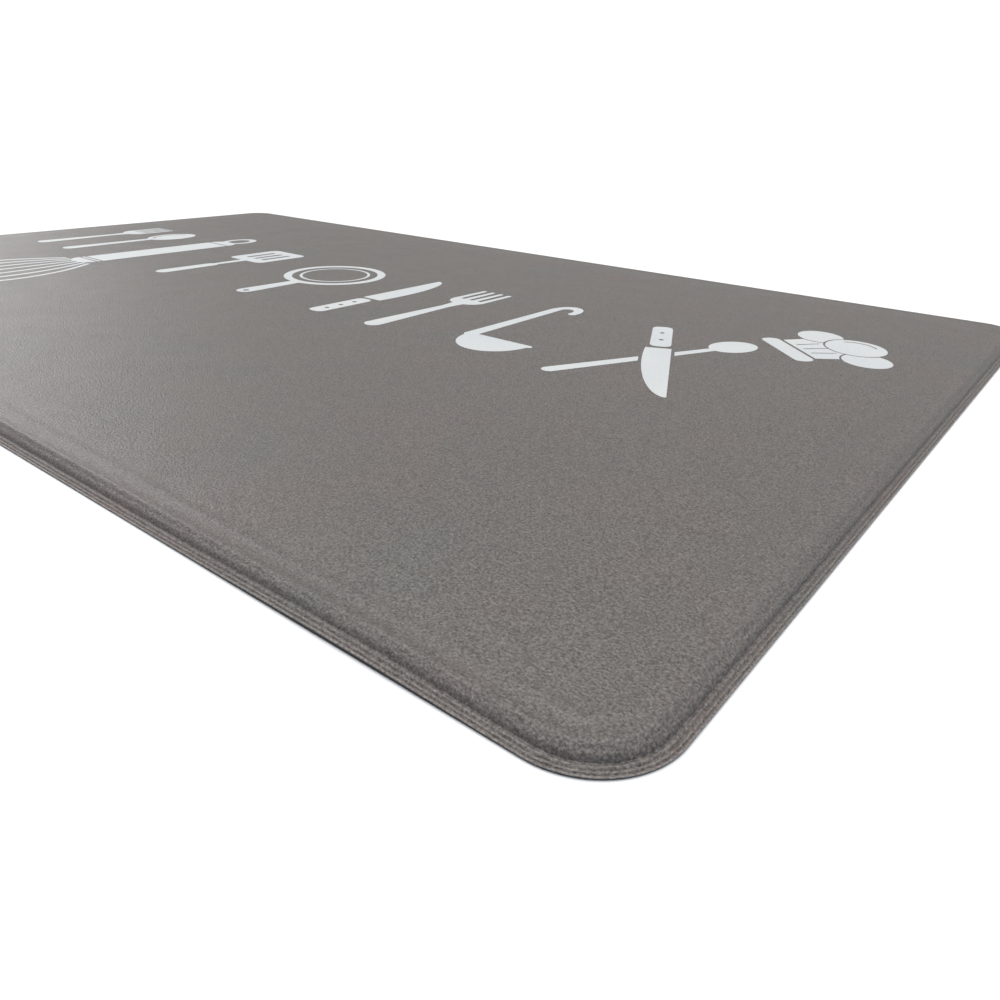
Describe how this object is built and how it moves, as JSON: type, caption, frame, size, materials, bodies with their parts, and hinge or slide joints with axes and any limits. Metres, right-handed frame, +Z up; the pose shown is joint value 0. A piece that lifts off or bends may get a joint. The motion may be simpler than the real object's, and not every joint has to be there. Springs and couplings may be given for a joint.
{
  "type": "anti-fatigue floor mat",
  "caption": "Cushioned rectangular floor mat with rounded corners, a ribbed pressed rim, a padded edge and a leather-grain top over a foam core.",
  "frame": {"origin": "centre of the underside, on the floor", "axes": "+X along the long side in the reading direction of the print, +Y to the back edge, +Z up through the thickness"},
  "size_m": [0.7, 0.44, 0.004],
  "materials": {
    "cover_leatherette": "warm grey PVC leatherette with a fine pebbled grain, satin",
    "cushion_foam": "closed-cell PVC foam, matte",
    "grip_sheet": "dark soft PVC non-slip sheet, matte",
    "print_ink": "cool white ink printed on the cover, following its grain, satin"
  },
  "bodies": {
    "root": {"top_cover": "cover_leatherette", "foam_core": "cushion_foam", "bottom_grip_sheet": "grip_sheet"}
  },
  "joints": []
}
